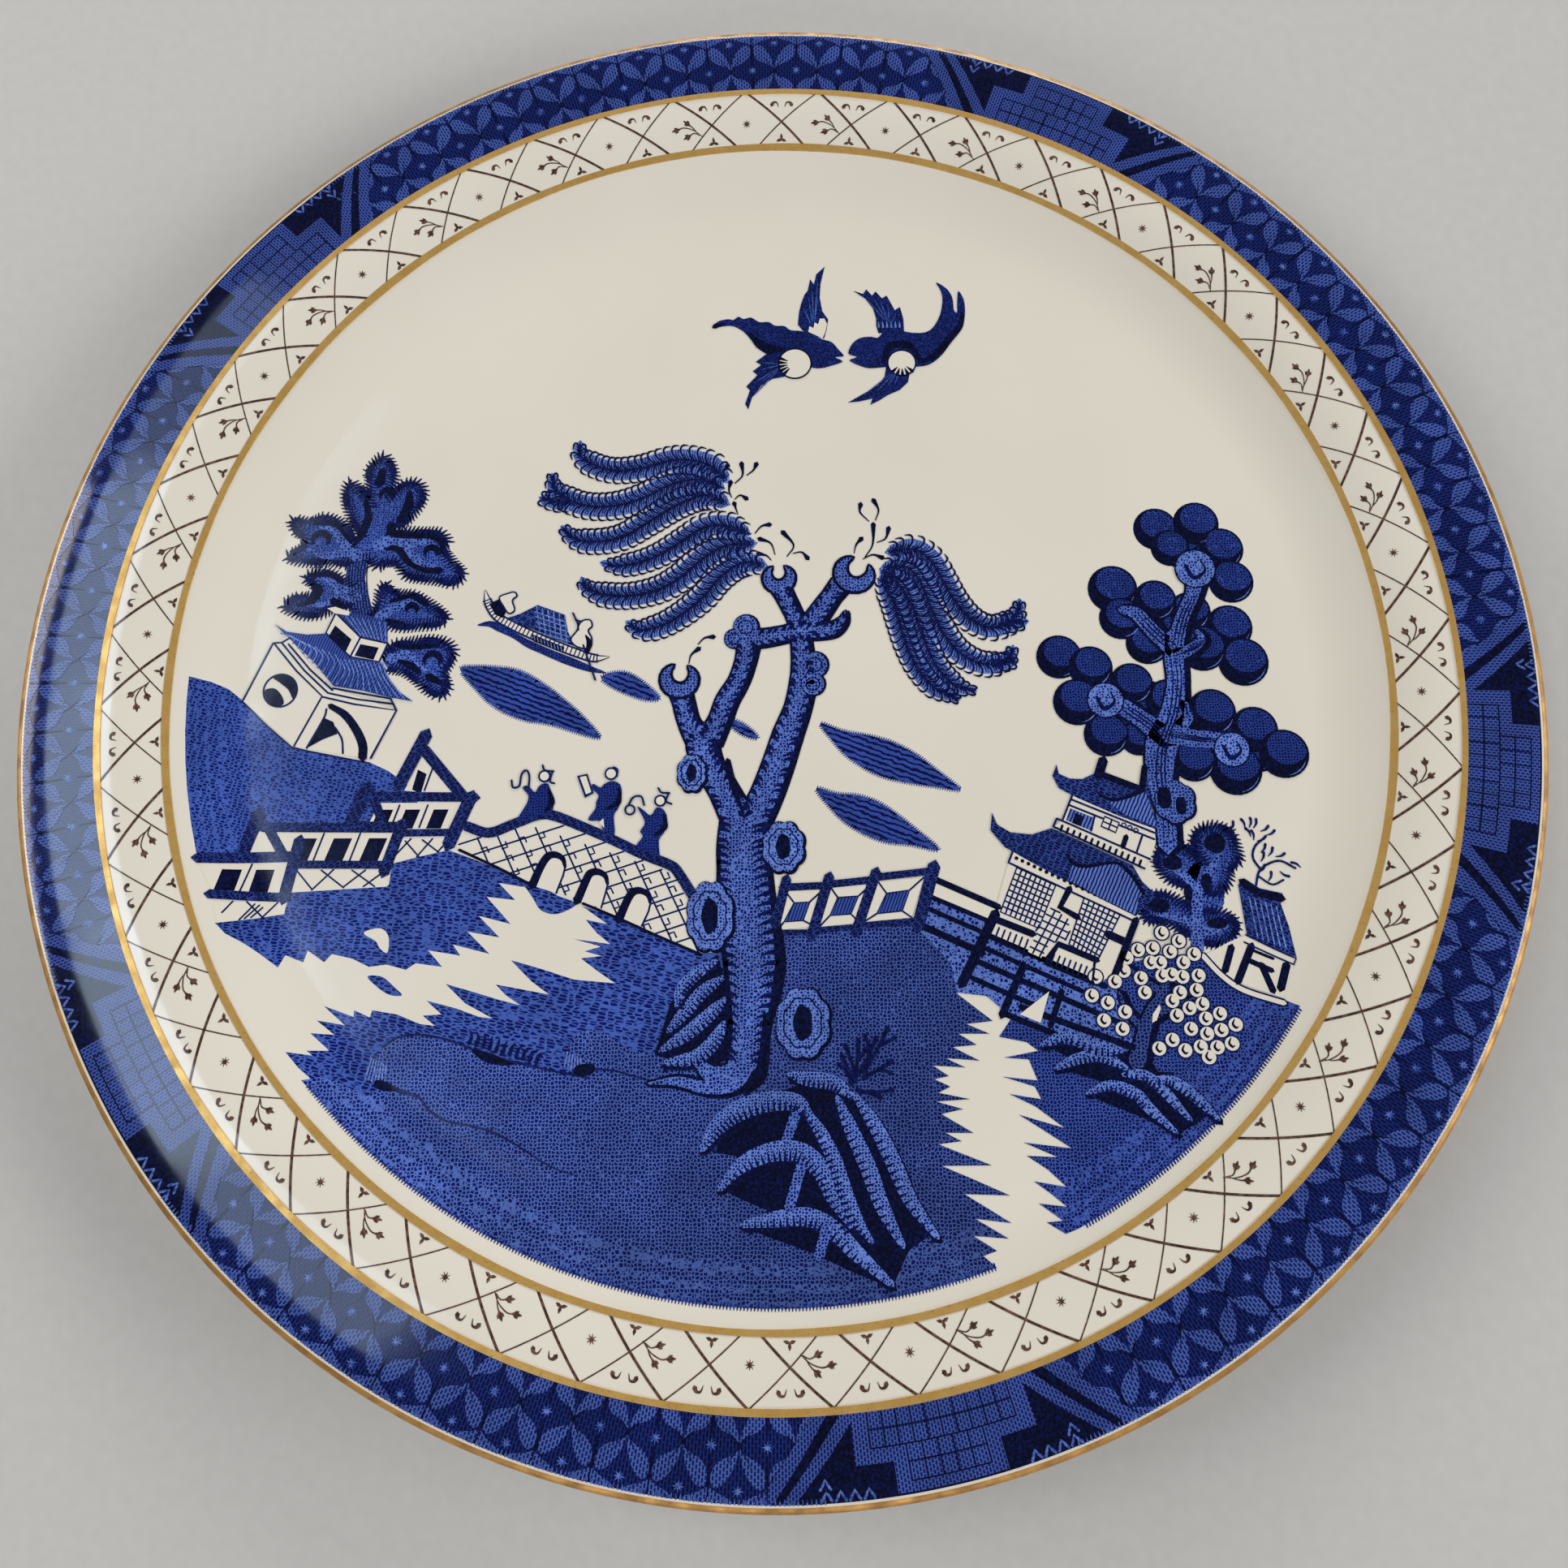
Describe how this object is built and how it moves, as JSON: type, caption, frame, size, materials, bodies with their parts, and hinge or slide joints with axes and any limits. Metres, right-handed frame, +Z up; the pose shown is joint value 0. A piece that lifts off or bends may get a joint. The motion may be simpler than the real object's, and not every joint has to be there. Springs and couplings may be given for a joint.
{
  "type": "dinner plate",
  "caption": "Round china dinner plate with a shallow well, low rim and foot ring, printed with a blue chinoiserie landscape, a lattice band, a blue border and gilt lines.",
  "frame": {"origin": "centre of the foot ring, on the surface that the plate stands on", "axes": "+Z up along the axis of revolution; +Y towards the top of the landscape, +X to its right"},
  "size_m": [0.267, 0.267, 0.0153],
  "materials": {
    "bisque_china": "unglazed fired china, only bare on the foot's contact strip",
    "glazed_china": "warm white china under a clear gloss glaze",
    "cobalt_print": "engraved cobalt-blue transfer print, dotted and lined, glazed",
    "sepia_print": "warm white glaze with a sepia line-and-sprig print",
    "gilding": "burnished gold, slightly worn"
  },
  "bodies": {
    "root": {"china_body": "bisque_china", "clear_glaze": "glazed_china", "landscape_print": "cobalt_print", "lattice_band_print": "sepia_print", "fret_border_print": "cobalt_print", "petal_border_print": "cobalt_print", "gilt_inner_line": "gilding", "gilt_outer_line": "gilding", "gilt_edge_line": "gilding"}
  },
  "joints": []
}
